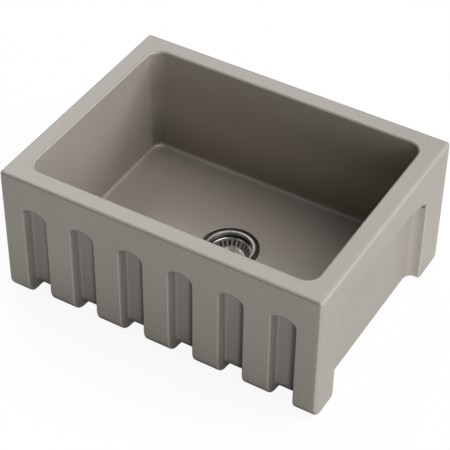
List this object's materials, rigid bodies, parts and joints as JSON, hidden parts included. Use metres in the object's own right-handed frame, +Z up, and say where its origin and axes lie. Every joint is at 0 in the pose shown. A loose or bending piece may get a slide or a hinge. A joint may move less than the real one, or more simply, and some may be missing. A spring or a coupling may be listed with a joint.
{
  "type": "farmhouse apron front sink",
  "caption": "Fireclay kitchen sink with a fluted apron, arched side recesses and a lift-out basket strainer with a push-down stopper.",
  "frame": {"origin": "middle of the sink's base, on the surface that it stands on", "axes": "+X along the apron to the right, +Y from the apron to the back, +Z up out of the basin"},
  "size_m": [0.6, 0.457, 0.262],
  "materials": {
    "glaze": "matte taupe glaze over fireclay",
    "strainer_steel": "polished pressed stainless steel",
    "basket_steel": "brushed stainless steel",
    "seal_rubber": "soft sealing ring",
    "gasket_rubber": "black rubber",
    "fibre": "pressed fibre",
    "nut_metal": "cast zinc alloy, matte",
    "brass": "turned brass",
    "bush_plastic": "moulded plastic",
    "knob_chrome": "polished",
    "stem_steel": "turned stainless steel",
    "clip_steel": "spring steel",
    "cap_steel": "pressed stainless steel",
    "stopper_rubber": "black rubber",
    "washer_steel": "pressed stainless steel",
    "nut_steel": "turned stainless steel"
  },
  "bodies": {
    "sink": {"sink_body": "glaze", "strainer_body": "strainer_steel", "flange_seal": "seal_rubber", "drain_gasket": "gasket_rubber", "friction_ring": "fibre", "locknut": "nut_metal", "outlet_spigot": "brass"},
    "basket": {"basket_cup": "basket_steel", "guide_bush": "bush_plastic"},
    "stopper": {"knob": "knob_chrome", "stem": "stem_steel", "stem_clip": "clip_steel", "seal_cap": "cap_steel", "stopper_seal": "stopper_rubber", "seal_washer": "washer_steel", "stem_nut": "nut_steel"}
  },
  "joints": [
    {"name": "basket_lift", "type": "slide", "parent": "sink", "child": "basket", "axis": [0, 0, 1], "range_m": [0, 0.3]},
    {"name": "stopper_press", "type": "slide", "parent": "basket", "child": "stopper", "axis": [0, 0, -1], "range_m": [0, 0.0045]}
  ]
}
